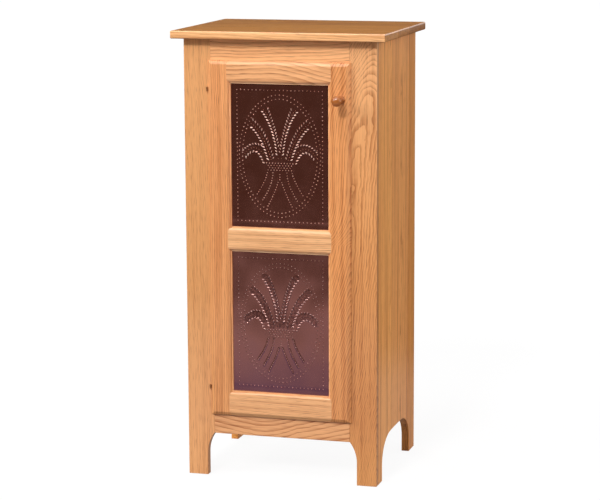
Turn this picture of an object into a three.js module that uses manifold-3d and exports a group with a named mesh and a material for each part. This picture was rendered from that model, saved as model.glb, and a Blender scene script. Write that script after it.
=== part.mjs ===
// A one-door pie safe in oak: a case on cut-out feet, and a framed door with two punched tins.
// Millimetres, +X to the right, +Y to the back, +Z up. While the pieces are made, x = 0 is the
// middle of the case, y = 0 the front of the face frame and z = 0 the floor.

import * as THREE from 'three';
import { mergeVertices } from 'three/addons/utils/BufferGeometryUtils.js';
import Module from 'manifold-3d';

const wasm = await Module();
wasm.setup();

// Case
const caseWidth = 476.25;
const caseDepth = 393.7;
const caseHeight = 1092.2;
const boardThickness = 19.05;
const plyThickness = 6.35;
const floorThickness = 12.7;
const topSideOverhang = 25.4;
const topFrontOverhang = 25.4;
const topEaseRadius = 3.2;
const topBoardShares = [0.32, 0.27, 0.41];
const sideBoardShares = [0.336, 0.481, 0.183];

// Face frame and feet
const frameStileWidth = 66.7;
const frameTopRailWidth = 55;
const frameBottomRailWidth = 52.4;
const footWidth = 49.2;
const frontClearHeight = 106.7;
const footStraightHeight = 56;
const sideFootDepth = 55.5;
const sideFootStraightHeight = 40;
const sideArchRun = 87;
const sideArchHeight = 105;

// Joinery
const fitGap = 0.2;
const overrun = 5;
const tenonLength = 25.4;
const tenonThickness = 6.35;
const tenonShoulder = 6.35;
const dadoDepth = 6.35;
const backRabbetWidth = 9.5;

// Shelves
const cleatHeight = 38.1;
const shelfEndGap = 1.5;
const shelfFrontSetback = 6.35;
const shelfBackGap = 3;
const pinRadius = 3.175;
const pinHoleGap = 0.3;
const pinLength = 17.5;
const pinHoleDepth = 9;
const pinHoleSpacing = 50.8;
const pinHoleInset = 50.8;
const pinRows = 5;
const pinSides = 8;

// Door
const lipOverlap = 4.76;
const lipGap = 0.5;
const lipThickness = 9.525;
const doorStileWidth = 55.55;
const doorTopRailWidth = 54.8;
const doorMiddleRailWidth = 60.3;
const doorBottomRailWidth = 63.5;
const ovoloRun = 7;
const ovoloDrop = 5.6;
const filletWidth = 3.2;
const filletDepth = 7;
const ledgeDepth = 9.5;
const tinRabbetWidth = 6.65;
const tinThickness = 0.8;
const tinGap = 0.3;
const retainerWidth = 5.6;

// Punched pattern of each tin: places are shares of half its width and half its height
const punchMargin = 15;
const dotRadius = 1.8;
const dotSpacing = 24;
const stalkSpacing = 14;
const grainSpacing = 11.5;
const grainLength = 7.6;
const grainWidth = 3.4;
const grainSlant = Math.PI / 5;
const ovalShares = [[0.95, 0.93], [0.86, 0.86]];
const grainRowShares = [
  { lean: -1, places: [[0.455, 0.711], [0.215, 0.419], [0.085, 0.045]] },
  { lean: 1, places: [[0.275, 0.717], [0.145, 0.54], [0.055, 0.368]] },
  { lean: -1, places: [[0.67, 0.42], [0.46, 0.255], [0.285, -0.038]] },
  { lean: 1, places: [[0.625, 0.546], [0.36, 0.33], [0.16, -0.02]] },
  { lean: 1, places: [[0.862, 0.086], [0.67, 0.176], [0.475, 0.165]] },
  { lean: -1, places: [[0.795, -0.025], [0.568, 0.06], [0.39, -0.11]] },
];
const stalkShares = [
  [[0.294, -0.25], [0.379, -0.406], [0.54, -0.584]],
  [[0.165, -0.25], [0.227, -0.444], [0.407, -0.673]],
  [[0.06, -0.4], [0.142, -0.571], [0.284, -0.762]],
];
const bandShares = [
  { height: -0.135, places: [-0.28, -0.14, 0, 0.14, 0.28] },
  { height: -0.19, places: [-0.21, -0.07, 0.07, 0.21] },
];

// Hinges
const hingeInset = 70;
const barrelRadius = 2.5;
const barrelOffset = 2.8;
const barrelForward = 3.5;
const knuckleLength = 2.8;
const knuckleGap = 0.3;
const hingePinRadius = 1.2;
const hingeBoreGap = 0.2;
const pinHeadRadius = 2;
const pinHeadHeight = 0.8;
const leafThickness = 1.2;
const leafHeight = 50.8;
const frameLeafReach = 14;
const doorLeafReach = 24;
const leafHoleRadius = 1.9;
const leafHoleInset = 9;
const barrelSides = 14;

// Knob and catch
const knobFromOpeningEdge = 32.3;
const knobBelowDoorTop = 87;
const knobLength = 48;
const knobHeadRadius = 12.4;
const knobNeckRadius = 7;
const knobFootRadius = 10;
const knobFootThickness = 4;
const knobHeadLength = 19.8;
const knobScrewRadius = 2.1;
const screwHoleGap = 0.3;
const knobScrewDepth = 18;
const knobScrewHeadRadius = 4.6;
const knobScrewHeadHeight = 2.6;
const knobScrewCrownShare = 0.7;
const catchWidth = 42;
const catchHeight = 13;
const catchDepth = 36;
const catchInset = 12;
const magnetWidth = 26;
const magnetHeight = 7;
const magnetDepth = 9;
const magnetProud = 0.6;
const magnetGap = 0.3;
const strikeWidth = 38;
const strikeHeight = 13;
const strikeThickness = 1.2;

// Faceting of round work
const roundSteps = 6;
const turnedSides = 24;

// Sizes worked out from the ones above
const halfCase = caseWidth / 2;
const innerHalf = halfCase - boardThickness;
const topUnderside = caseHeight - boardThickness;
const openingHalf = halfCase - frameStileWidth;
const openingLow = frontClearHeight + frameBottomRailWidth;
const openingHigh = topUnderside - frameTopRailWidth;
const backFront = caseDepth - plyThickness;
const doorHalf = openingHalf + lipOverlap;
const doorLow = openingLow - lipOverlap;
const doorHigh = openingHigh + lipOverlap;
const lipBack = -lipGap;
const doorFront = lipBack - lipThickness;
const doorBack = doorFront + boardThickness;
const tinOpeningHalf = doorHalf - doorStileWidth;
const tinOpeningHeight =
  (doorHigh - doorLow - doorTopRailWidth - doorMiddleRailWidth - doorBottomRailWidth) / 2;
const lowerTinLow = doorLow + doorBottomRailWidth;
const upperTinLow = lowerTinLow + tinOpeningHeight + doorMiddleRailWidth;
const tinFront = doorFront + ledgeDepth + tinGap;
const stickingWidth = filletWidth + ovoloRun;
const fixedShelfLow = upperTinLow - (doorMiddleRailWidth + boardThickness) / 2;
const lowerBayMiddle = (openingLow + fixedShelfLow) / 2;
const upperBayMiddle = (fixedShelfLow + boardThickness + topUnderside) / 2;
const pinColumns = [boardThickness + pinHoleInset, backFront - pinHoleInset];
const hingeX = -doorHalf - barrelOffset;
const hingeY = lipBack - barrelForward;
const hingeHeights = { lower: doorLow + hingeInset, upper: doorHigh - hingeInset };
const knobX = tinOpeningHalf + knobFromOpeningEdge;
const knobZ = doorHigh - knobBelowDoorTop;
const knobFront = doorFront - fitGap - knobLength;

const oak = { color: 0xdb9661, roughness: 0.45, metalness: 0 };
const oakInside = { color: 0xd9a878, roughness: 0.6, metalness: 0 };
const punchedTin = { color: 0x5a3428, roughness: 0.38, metalness: 0.9 };
const knobWood = { color: 0xa8663c, roughness: 0.3, metalness: 0 };
const darkBronze = { color: 0x4a3526, roughness: 0.4, metalness: 0.85 };
const steel = { color: 0xb8b4ab, roughness: 0.35, metalness: 0.9 };
const catchPlastic = { color: 0x6b4a34, roughness: 0.5, metalness: 0 };
const magnetGrey = { color: 0x4b4b4d, roughness: 0.5, metalness: 0.4 };

// Solids from three.js geometry, and back to geometry.
function solid(geometry) {
  const bare = geometry.clone();
  bare.deleteAttribute('normal');
  bare.deleteAttribute('uv');
  const merged = mergeVertices(bare);
  return new wasm.Manifold(new wasm.Mesh({
    numProp: 3,
    vertProperties: Float32Array.from(merged.attributes.position.array),
    triVerts: Uint32Array.from(merged.index.array),
  }));
}

function geometryOf(shape) {
  const { vertProperties, triVerts } = shape.getMesh();
  const geometry = new THREE.BufferGeometry();
  geometry.setAttribute('position', new THREE.BufferAttribute(vertProperties, 3));
  geometry.setIndex(new THREE.BufferAttribute(triVerts, 1));
  const faceted = geometry.toNonIndexed();
  faceted.computeVertexNormals();
  return faceted;
}

const pieSafe = new THREE.Group();

function piece(name, shape, finish) {
  const mesh = new THREE.Mesh(geometryOf(shape), new THREE.MeshStandardMaterial(finish));
  mesh.name = name;
  pieSafe.add(mesh);
}

// A box between two corners, given as ranges along x, y and z.
function block([x0, x1], [y0, y1], [z0, z1]) {
  const box = new THREE.BoxGeometry(x1 - x0, y1 - y0, z1 - z0);
  box.translate((x0 + x1) / 2, (y0 + y1) / 2, (z0 + z1) / 2);
  return solid(box);
}

// Prisms: an outline in two axes, run along the third between two places.
function extruded(outline, length) {
  const shape = new THREE.Shape(outline.map(([u, v]) => new THREE.Vector2(u, v)));
  return new THREE.ExtrudeGeometry(shape, { depth: length, bevelEnabled: false });
}

function alongZ(outline, low, high) {
  return solid(extruded(outline, high - low).translate(0, 0, low));
}

function alongX(outlineYZ, low, high) {
  const axisX = new THREE.Vector3(1, 0, 0);
  const axisY = new THREE.Vector3(0, 1, 0);
  const axisZ = new THREE.Vector3(0, 0, 1);
  const turn = new THREE.Matrix4().makeBasis(axisY, axisZ, axisX);
  return solid(extruded(outlineYZ, high - low).applyMatrix4(turn).translate(low, 0, 0));
}

function alongY(outlineXZ, low, high) {
  const turn = new THREE.Matrix4().makeRotationX(Math.PI / 2);
  return solid(extruded(outlineXZ, high - low).applyMatrix4(turn).translate(0, high, 0));
}

// Points on an elliptical arc from one angle to another, both ends included.
function arc(u, v, radiusU, radiusV, from, to, steps = roundSteps) {
  return Array.from({ length: steps + 1 }, (_, i) => {
    const angle = from + (to - from) * i / steps;
    return [u + radiusU * Math.cos(angle), v + radiusV * Math.sin(angle)];
  });
}

function circle(u, v, radius, sides) {
  return arc(u, v, radius, radius, 0, 2 * Math.PI, sides).slice(0, sides);
}

// A turned piece, whose axis runs to the front from the given place. The profile is radius, height.
function turned(profile, x, y, z) {
  const lathe = new THREE.LatheGeometry(profile.map(([r, h]) => new THREE.Vector2(r, h)), turnedSides);
  return solid(lathe.rotateX(Math.PI).translate(x, y, z));
}

function swap([u, v]) {
  return [v, u];
}

// The top: three edge-glued boards, with eased edges at the front and both ends.
function topForm() {
  const r = topEaseRadius;
  const half = halfCase + topSideOverhang;
  const corner = (u, v, from) => arc(u, v, r, r, from, from + Math.PI / 2);
  const alongLength = [
    [caseDepth, topUnderside], [caseDepth, caseHeight],
    ...corner(r - topFrontOverhang, caseHeight - r, Math.PI / 2),
    ...corner(r - topFrontOverhang, topUnderside + r, Math.PI),
  ];
  const acrossWidth = [
    ...corner(half - r, caseHeight - r, 0), ...corner(r - half, caseHeight - r, Math.PI / 2),
    ...corner(r - half, topUnderside + r, Math.PI), ...corner(half - r, topUnderside + r, 1.5 * Math.PI),
  ];
  return alongX(alongLength, -half, half)
    .intersect(alongY(acrossWidth, -topFrontOverhang - overrun, caseDepth + overrun));
}

// Cuts a form into boards across its depth, with a glue line between neighbours.
function boards(form, front, back, shares) {
  let from = front - overrun;
  let share = 0;
  return shares.map((part, i) => {
    share += part;
    const last = i === shares.length - 1;
    const joint = front + (back - front) * share;
    const to = last ? back + overrun : joint - fitGap / 2;
    const height = [-overrun, caseHeight + overrun];
    const board = form.intersect(block([-caseWidth, caseWidth], [from, to], height));
    from = joint + fitGap / 2;
    return board;
  });
}

function addTop() {
  const [front, middle, rear] = boards(topForm(), -topFrontOverhang, caseDepth, topBoardShares);
  piece('top_board_front', front, oak);
  piece('top_board_middle', middle, oak);
  piece('top_board_rear', rear, oak);
}

// A side: an arch between two feet, dadoes for the floor and the fixed shelf, a rabbet for the
// back, and two columns of holes for shelf pins in each bay.
function sideOutline() {
  const front = boardThickness + fitGap;
  const frontSpring = sideFootDepth + sideArchRun;
  const rearSpring = caseDepth - frontSpring;
  const rise = sideArchHeight - sideFootStraightHeight;
  const quarter = Math.PI / 2;
  return [
    [front, 0], [sideFootDepth, 0],
    ...arc(frontSpring, sideFootStraightHeight, sideArchRun, rise, 2 * quarter, quarter, 2 * roundSteps),
    ...arc(rearSpring, sideFootStraightHeight, sideArchRun, rise, quarter, 0, 2 * roundSteps),
    [caseDepth - sideFootDepth, 0], [caseDepth, 0],
    [caseDepth, topUnderside - fitGap], [front, topUnderside - fitGap],
  ];
}

function pinHeights() {
  const rows = Array.from({ length: pinRows }, (_, i) => (i - (pinRows - 1) / 2) * pinHoleSpacing);
  return [lowerBayMiddle, upperBayMiddle].flatMap((middle) => rows.map((row) => middle + row));
}

function sideForm() {
  const dadoFloor = innerHalf + dadoDepth;
  const inwards = [innerHalf - overrun, dadoFloor];
  const fromFront = [0, backFront];
  let side = alongX(sideOutline(), innerHalf, halfCase)
    .subtract(block(inwards, fromFront, [openingLow - floorThickness - fitGap, openingLow + fitGap]))
    .subtract(block(inwards, fromFront, [fixedShelfLow - fitGap, fixedShelfLow + boardThickness + fitGap]))
    .subtract(block([innerHalf - overrun, innerHalf + backRabbetWidth],
      [backFront - fitGap, caseDepth + overrun], [-overrun, caseHeight]));
  for (const y of pinColumns) {
    for (const z of pinHeights()) {
      const outline = circle(y, z, pinRadius + pinHoleGap, pinSides);
      side = side.subtract(alongX(outline, innerHalf - overrun, innerHalf + pinHoleDepth));
    }
  }
  return side;
}

function mirrored(shape) {
  return shape.mirror([1, 0, 0]);
}

function addSides() {
  const names = ['front', 'middle', 'rear'];
  boards(sideForm(), boardThickness, caseDepth, sideBoardShares).forEach((board, i) => {
    piece(`side_board_right_${names[i]}`, board, oak);
    piece(`side_board_left_${names[i]}`, mirrored(board), oak);
  });
}

// Face frame: stiles that run down to the feet, and two rails tenoned into them.
function stileOutline() {
  const offset = frameStileWidth - footWidth;
  const height = frontClearHeight - footStraightHeight;
  const radius = (height ** 2 + offset ** 2) / (2 * offset);
  const sweep = Math.asin(height / radius);
  const inner = halfCase - footWidth;
  return [
    [halfCase, 0], [halfCase, topUnderside - fitGap], [openingHalf, topUnderside - fitGap],
    ...arc(inner - radius, footStraightHeight, radius, radius, sweep, 0, 2 * roundSteps),
    [inner, 0],
  ];
}

const frameTenonDepth = [(boardThickness - tenonThickness) / 2, (boardThickness + tenonThickness) / 2];

function frameTenonHeight(low, high) {
  return [low + tenonShoulder, high - tenonShoulder];
}

function grown([low, high], by) {
  return [low - by, high + by];
}

function frameMortise(low, high) {
  const reach = [openingHalf - overrun, openingHalf + tenonLength + fitGap];
  return block(reach, grown(frameTenonDepth, fitGap), grown(frameTenonHeight(low, high), fitGap));
}

function frameStile() {
  return alongY(stileOutline(), 0, boardThickness)
    .subtract(frameMortise(frontClearHeight, openingLow))
    .subtract(frameMortise(openingHigh, topUnderside - fitGap));
}

function frameRail(low, high) {
  const half = openingHalf - fitGap;
  const tenonHalf = openingHalf + tenonLength;
  return block([-half, half], [0, boardThickness], [low, high])
    .add(block([-tenonHalf, tenonHalf], frameTenonDepth, frameTenonHeight(low, high)));
}

function addFaceFrame() {
  let left = mirrored(frameStile());
  for (const height of Object.values(hingeHeights)) left = left.subtract(frameLeafSlot(height));
  piece('face_stile_left', left, oak);
  piece('face_stile_right', frameStile(), oak);
  piece('face_rail_top', frameRail(openingHigh, topUnderside - fitGap), oak);
  piece('face_rail_bottom', frameRail(frontClearHeight, openingLow), oak);
}

// Inside the case: floor, back, two cleats under the top, one fixed and two adjustable shelves.
function housedBoard(low, thickness) {
  const half = innerHalf + dadoDepth - fitGap;
  const depth = [boardThickness + fitGap, backFront - 2 * fitGap];
  return block([-half, half], depth, [low, low + thickness]);
}

function adjustableShelf(rowHeight) {
  const half = innerHalf - shelfEndGap;
  const low = rowHeight + pinRadius + fitGap;
  const depth = [boardThickness + shelfFrontSetback, backFront - shelfBackGap];
  return block([-half, half], depth, [low, low + boardThickness]);
}

function shelfPin(y, z) {
  const inner = innerHalf + pinHoleDepth - fitGap;
  return alongX(circle(y, z, pinRadius, pinSides), inner - pinLength, inner);
}

function addPins(bay, height) {
  ['front', 'rear'].forEach((place, i) => {
    const pin = shelfPin(pinColumns[i], height);
    piece(`shelf_pin_${bay}_right_${place}`, pin, steel);
    piece(`shelf_pin_${bay}_left_${place}`, mirrored(pin), steel);
  });
}

function addInside() {
  const cleatHalf = innerHalf - fitGap;
  const cleatZ = [topUnderside - fitGap - cleatHeight, topUnderside - fitGap];
  const frontCleat = [boardThickness + fitGap, 2 * boardThickness];
  const rearCleat = [backFront - 2 * fitGap - boardThickness, backFront - 2 * fitGap];
  const backHalf = innerHalf + backRabbetWidth - fitGap;
  const backZ = [openingLow - floorThickness, topUnderside - fitGap];
  piece('bottom_panel', housedBoard(openingLow - floorThickness, floorThickness), oakInside);
  piece('back_panel', block([-backHalf, backHalf], [backFront, caseDepth], backZ), oakInside);
  piece('top_cleat_front', block([-cleatHalf, cleatHalf], frontCleat, cleatZ), oakInside);
  piece('top_cleat_rear', block([-cleatHalf, cleatHalf], rearCleat, cleatZ), oakInside);
  piece('fixed_shelf', housedBoard(fixedShelfLow, boardThickness), oakInside);
  piece('adjustable_shelf_lower', adjustableShelf(lowerBayMiddle), oakInside);
  piece('adjustable_shelf_upper', adjustableShelf(upperBayMiddle), oakInside);
  addPins('lower', lowerBayMiddle);
  addPins('upper', upperBayMiddle);
}

// Door. All four outer edges are rounded over in front and rabbeted behind, which leaves a lip.
function lippedOutline(low, high) {
  const r = lipThickness;
  const quarter = Math.PI / 2;
  const rabbet = lipThickness;
  return [
    ...arc(low + r, lipBack, r, r, -2 * quarter, -quarter),
    ...arc(high - r, lipBack, r, r, -quarter, 0),
    [high - rabbet, lipBack], [high - rabbet, doorBack],
    [low + rabbet, doorBack], [low + rabbet, lipBack],
  ];
}

function doorForm() {
  const section = lippedOutline(doorLow, doorHigh).map(swap);
  return alongZ(lippedOutline(-doorHalf, doorHalf), doorLow - overrun, doorHigh + overrun)
    .intersect(alongX(section, -doorHalf - overrun, doorHalf + overrun));
}

// The moulded inner edge of a door member, from its front face to its back face. The opening
// starts at the given place and lies on the positive side of it when way is 1.
function mouldedEdge(at, way) {
  const u = (inset) => at - way * inset;
  const quarter = Math.PI / 2;
  const ovolo = arc(0, 0, ovoloRun, ovoloDrop, quarter, 0)
    .map(([run, rise]) => [u(stickingWidth - run), doorFront + ovoloDrop - rise]);
  return [
    ...ovolo, [u(filletWidth), doorFront + filletDepth], [u(0), doorFront + filletDepth],
    [u(0), doorFront + ledgeDepth], [u(tinRabbetWidth), doorFront + ledgeDepth],
    [u(tinRabbetWidth), doorBack],
  ];
}

function plainEdge(at) {
  return [[at, doorFront], [at, doorBack]];
}

function doorMember(lowEdge, highEdge) {
  return [...lowEdge, ...highEdge.reverse()];
}

const doorTenonDepth = [
  (doorFront + ledgeDepth + doorBack - tenonThickness) / 2,
  (doorFront + ledgeDepth + doorBack + tenonThickness) / 2,
];

// Height of each rail and of its tenon, which stays behind the lip and the tin rabbet.
const outerStep = lipThickness + tenonShoulder / 2;
const innerStep = tinRabbetWidth + tenonShoulder / 2;
const middleRailLow = lowerTinLow + tinOpeningHeight;
const doorRails = {
  bottom: {
    outline: () => doorMember(plainEdge(doorLow - overrun), mouldedEdge(lowerTinLow, 1)),
    tenon: [doorLow + outerStep, lowerTinLow - innerStep],
  },
  middle: {
    outline: () => doorMember(mouldedEdge(middleRailLow, -1), mouldedEdge(upperTinLow, 1)),
    tenon: [middleRailLow + innerStep, upperTinLow - innerStep],
  },
  top: {
    outline: () => doorMember(
      mouldedEdge(upperTinLow + tinOpeningHeight, -1), plainEdge(doorHigh + overrun)),
    tenon: [doorHigh - doorTopRailWidth + innerStep, doorHigh - outerStep],
  },
};

function plainStile() {
  const outline = doorMember(mouldedEdge(tinOpeningHalf, -1), plainEdge(doorHalf + overrun));
  return alongZ(outline, doorLow - overrun, doorHigh + overrun);
}

function doorStile() {
  const reach = [tinOpeningHalf - overrun, tinOpeningHalf + tinRabbetWidth + tenonLength + fitGap];
  let stile = plainStile().intersect(doorForm());
  for (const { tenon } of Object.values(doorRails)) {
    stile = stile.subtract(block(reach, grown(doorTenonDepth, fitGap), grown(tenon, fitGap)));
  }
  return stile;
}

// Rail ends are coped: cut to the reverse of the stile's moulding, so that the mouldings meet
// in a mitre at each corner.
function doorRail({ outline, tenon }) {
  const half = tinOpeningHalf + stickingWidth;
  const tenonHalf = tinOpeningHalf + tinRabbetWidth + tenonLength;
  let rail = alongX(outline().map(swap), -half, half);
  for (const forward of [-fitGap, fitGap]) {
    const cutter = plainStile().translate([-fitGap, forward, 0]);
    rail = rail.subtract(cutter).subtract(mirrored(cutter));
  }
  return rail.intersect(doorForm()).add(block([-tenonHalf, tenonHalf], doorTenonDepth, tenon));
}

// The punched pattern: a border of dots, two ovals of dots, and a sheaf of six ears, whose grains
// lean away from the middle of each ear, over a band and the stalks. It is the same on both halves.
const punchHalfWidth = tinOpeningHalf - punchMargin;
const punchHalfHeight = tinOpeningHeight / 2 - punchMargin;

function through(places) {
  const scale = new THREE.Vector2(punchHalfWidth, punchHalfHeight);
  return new THREE.SplineCurve(places.map(([u, v]) => new THREE.Vector2(u, v).multiply(scale)));
}

function spacedAlong(curve, spacing) {
  return curve.getSpacedPoints(Math.round(curve.getLength() / spacing));
}

// A dot is left by a three-cornered punch.
function dot({ x, y }) {
  return arc(x, y, dotRadius, dotRadius, Math.PI / 2, 2.5 * Math.PI, 3).slice(1);
}

function borderDots() {
  const corners = [[1, 1], [-1, 1], [-1, -1], [1, -1]];
  return corners.flatMap((corner, i) => {
    const side = through([corner, corners[(i + 1) % corners.length]]);
    return spacedAlong(side, dotSpacing).slice(1).map(dot);
  });
}

function ovalDots() {
  return ovalShares.flatMap(([wide, high]) => {
    const oval = new THREE.EllipseCurve(0, 0, wide * punchHalfWidth, high * punchHalfHeight);
    const pairs = Math.round(oval.getLength() / dotSpacing / 2);
    return oval.getSpacedPoints(2 * pairs).slice(1).map(dot);
  });
}

function bandDots() {
  return bandShares.flatMap(({ height, places }) =>
    places.map((place) => dot({ x: place * punchHalfWidth, y: height * punchHalfHeight })));
}

// A row runs from the tip of its ear to the base, so its grains point against it.
function grains({ lean, places }) {
  const row = through(places);
  const points = spacedAlong(row, grainSpacing);
  return points.map((point, i) => {
    const way = row.getTangentAt(i / (points.length - 1)).negate();
    const along = way.rotateAround(new THREE.Vector2(), lean * grainSlant).multiplyScalar(grainLength / 2);
    const across = new THREE.Vector2(-along.y, along.x).setLength(grainWidth / 2);
    const foot = point.clone().sub(along);
    return [point.clone().add(along), foot.clone().add(across), foot.clone().sub(across)]
      .map(({ x, y }) => [x, y]);
  });
}

function punchedHoles() {
  const stalks = stalkShares.flatMap((places) => spacedAlong(through(places), stalkSpacing).map(dot));
  const half = [...grainRowShares.flatMap(grains), ...stalks];
  const otherHalf = half.map((hole) => hole.map(([x, z]) => [-x, z]).reverse());
  return [...borderDots(), ...ovalDots(), ...bandDots(), ...half, ...otherHalf];
}

// Both tins lie in rabbets behind the mouldings, and four strips hold each one there.
function addTin(place, low) {
  const half = tinOpeningHalf + tinRabbetWidth - tinGap;
  const high = low + tinOpeningHeight;
  const edge = tinRabbetWidth - tinGap;
  const back = tinFront + tinThickness;
  const depth = [back + fitGap, doorBack - fitGap];
  const inner = half - retainerWidth;
  const zLow = [low - edge, low - edge + retainerWidth];
  const zHigh = [high + edge - retainerWidth, high + edge];
  const zSide = [zLow[1] + fitGap, zHigh[0] - fitGap];
  const holes = punchedHoles().map((hole) => alongY(hole, tinFront - overrun, back + overrun));
  const pattern = wasm.Manifold.union(holes).translate([0, 0, (low + high) / 2]);
  const sheet = block([-half, half], [tinFront, back], [low - edge, high + edge]).subtract(pattern);
  piece(`punched_tin_${place}`, sheet, punchedTin);
  piece(`tin_retainer_${place}_bottom`, block([-half, half], depth, zLow), oakInside);
  piece(`tin_retainer_${place}_top`, block([-half, half], depth, zHigh), oakInside);
  piece(`tin_retainer_${place}_left`, block([-half, -inner], depth, zSide), oakInside);
  piece(`tin_retainer_${place}_right`, block([inner, half], depth, zSide), oakInside);
}

function addDoor() {
  let left = mirrored(doorStile());
  for (const height of Object.values(hingeHeights)) left = left.subtract(doorLeafPocket(height));
  const screwHole = alongY(circle(knobX, knobZ, knobScrewRadius + screwHoleGap, 2 * pinSides),
    doorFront - overrun, doorBack + overrun);
  piece('door_stile_left', left, oak);
  piece('door_stile_right', doorStile().subtract(screwHole), oak);
  for (const [place, rail] of Object.entries(doorRails)) {
    piece(`door_rail_${place}`, doorRail(rail), oak);
  }
  addTin('lower', lowerTinLow);
  addTin('upper', upperTinLow);
}

// Wrap hinges for a lipped door. The barrel stands at the lip's edge, the frame leaf turns round
// the stile's edge, and the door leaf follows the rabbet on to the back of the door.
function knuckle(height, low, high) {
  const barrel = alongZ(circle(hingeX, hingeY, barrelRadius, barrelSides), height + low, height + high);
  const bore = circle(hingeX, hingeY, hingePinRadius + hingeBoreGap, barrelSides);
  return { barrel, bore: alongZ(bore, height + low - overrun, height + high + overrun) };
}

const midKnuckle = [-knuckleLength / 2, knuckleLength / 2];
const endKnuckles = [
  [knuckleLength / 2 + knuckleGap, 1.5 * knuckleLength],
  [-1.5 * knuckleLength, -knuckleLength / 2 - knuckleGap],
];
const barrelHalf = 1.5 * knuckleLength;

function shifted([low, high], by) {
  return [low + by, high + by];
}

function leafHoles(leaf, height, hole) {
  for (const way of [-1, 1]) leaf = leaf.subtract(hole(height + way * (leafHeight / 2 - leafHoleInset)));
  return leaf;
}

function frameLeafSlot(height) {
  const reach = [hingeX - barrelRadius, -openingHalf + overrun];
  return block(reach, [-overrun, leafThickness + fitGap], grown(shifted(midKnuckle, height), fitGap));
}

function frameLeaf(height) {
  const edge = -openingHalf + fitGap;
  const outer = [edge, edge + leafThickness];
  const tongue = [fitGap / 2, fitGap / 2 + leafThickness];
  const span = shifted(midKnuckle, height);
  const { barrel, bore } = knuckle(height, ...midKnuckle);
  const neck = [hingeX - barrelRadius / 2, hingeX + barrelRadius / 2];
  const leafZ = [height - leafHeight / 2, height + leafHeight / 2];
  const leaf = block(outer, [tongue[0], frameLeafReach], leafZ)
    .add(block([neck[0], outer[1]], tongue, span))
    .add(block(neck, [hingeY, tongue[1]], span))
    .add(barrel)
    .subtract(bore);
  return leafHoles(leaf, height, (z) => alongX(
    circle(frameLeafReach / 2, z, leafHoleRadius, pinSides),
    edge - overrun, edge + overrun));
}

function doorLeafPocket(height) {
  const reach = [-doorHalf - overrun, -doorHalf + lipThickness + fitGap];
  const depth = [lipBack - leafThickness - 2 * fitGap, lipBack + fitGap];
  return block(reach, depth, [height - barrelHalf - fitGap, height + barrelHalf + fitGap]);
}

function doorLeaf(height) {
  const inset = -doorHalf + lipThickness;
  const wrap = [inset - fitGap - leafThickness, inset - fitGap];
  const tongue = [lipBack - leafThickness - fitGap, lipBack - fitGap];
  const plate = [doorBack + fitGap, doorBack + fitGap + leafThickness];
  const leafZ = [height - leafHeight / 2, height + leafHeight / 2];
  const bodyStart = lipBack + fitGap;
  let leaf = block(wrap, [bodyStart, plate[1]], leafZ)
    .add(block([wrap[0], inset + doorLeafReach], plate, leafZ));
  for (const range of endKnuckles) {
    const { barrel, bore } = knuckle(height, ...range);
    const span = shifted(range, height);
    leaf = leaf.add(block([hingeX, wrap[1]], tongue, span))
      .add(block(wrap, [tongue[0], bodyStart + leafThickness], span))
      .add(barrel)
      .subtract(bore);
  }
  return leafHoles(leaf, height, (z) => alongY(
    circle(inset + doorLeafReach / 2, z, leafHoleRadius, pinSides),
    plate[0] - overrun, plate[1] + overrun));
}

function hingePin(height) {
  const half = barrelHalf + fitGap;
  const shank = circle(hingeX, hingeY, hingePinRadius, barrelSides);
  const head = circle(hingeX, hingeY, pinHeadRadius, barrelSides);
  return alongZ(shank, height - half - pinHeadHeight / 2, height + half + pinHeadHeight / 2)
    .add(alongZ(head, height + half, height + half + pinHeadHeight))
    .add(alongZ(head, height - half - pinHeadHeight, height - half));
}

function addHinges() {
  for (const [place, height] of Object.entries(hingeHeights)) {
    piece(`hinge_frame_leaf_${place}`, frameLeaf(height), darkBronze);
    piece(`hinge_pin_${place}`, hingePin(height), darkBronze);
    piece(`hinge_door_leaf_${place}`, doorLeaf(height), darkBronze);
  }
}

// Turned wooden knob, with a screw from the back of the door.
function knobProfile() {
  const headBase = knobLength - knobHeadLength;
  const neck = knobNeckRadius;
  const bead = knobFootThickness;
  return [
    [0, 0], [knobFootRadius, 0],
    ...arc(knobFootRadius - bead / 2, bead / 2, bead / 2, bead / 2, 0, Math.PI / 2),
    [neck, bead + bead / 2], [neck, headBase - neck / 2],
    ...arc(0, headBase + knobHeadLength / 2, knobHeadRadius, knobHeadLength / 2,
      -Math.PI / 4, Math.PI / 2, 2 * roundSteps).slice(0, -1),
    [0, knobLength],
  ];
}

function addKnob() {
  const front = doorFront - fitGap;
  const screwStart = doorBack + fitGap;
  const shankEnd = screwStart - front + knobScrewDepth - fitGap;
  const r = knobScrewRadius;
  const hole = alongY(circle(knobX, knobZ, r + screwHoleGap, 2 * pinSides),
    front - knobScrewDepth - fitGap, front + overrun);
  const head = knobScrewHeadHeight;
  const screw = [[0, -head], [knobScrewHeadRadius * knobScrewCrownShare, -head],
    [knobScrewHeadRadius, -head / 2], [knobScrewHeadRadius, 0], [r, 0], [r, shankEnd], [0, shankEnd]];
  piece('door_knob', turned(knobProfile(), knobX, front, knobZ).subtract(hole), knobWood);
  piece('knob_screw', turned(screw, knobX, screwStart, knobZ), steel);
}

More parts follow.
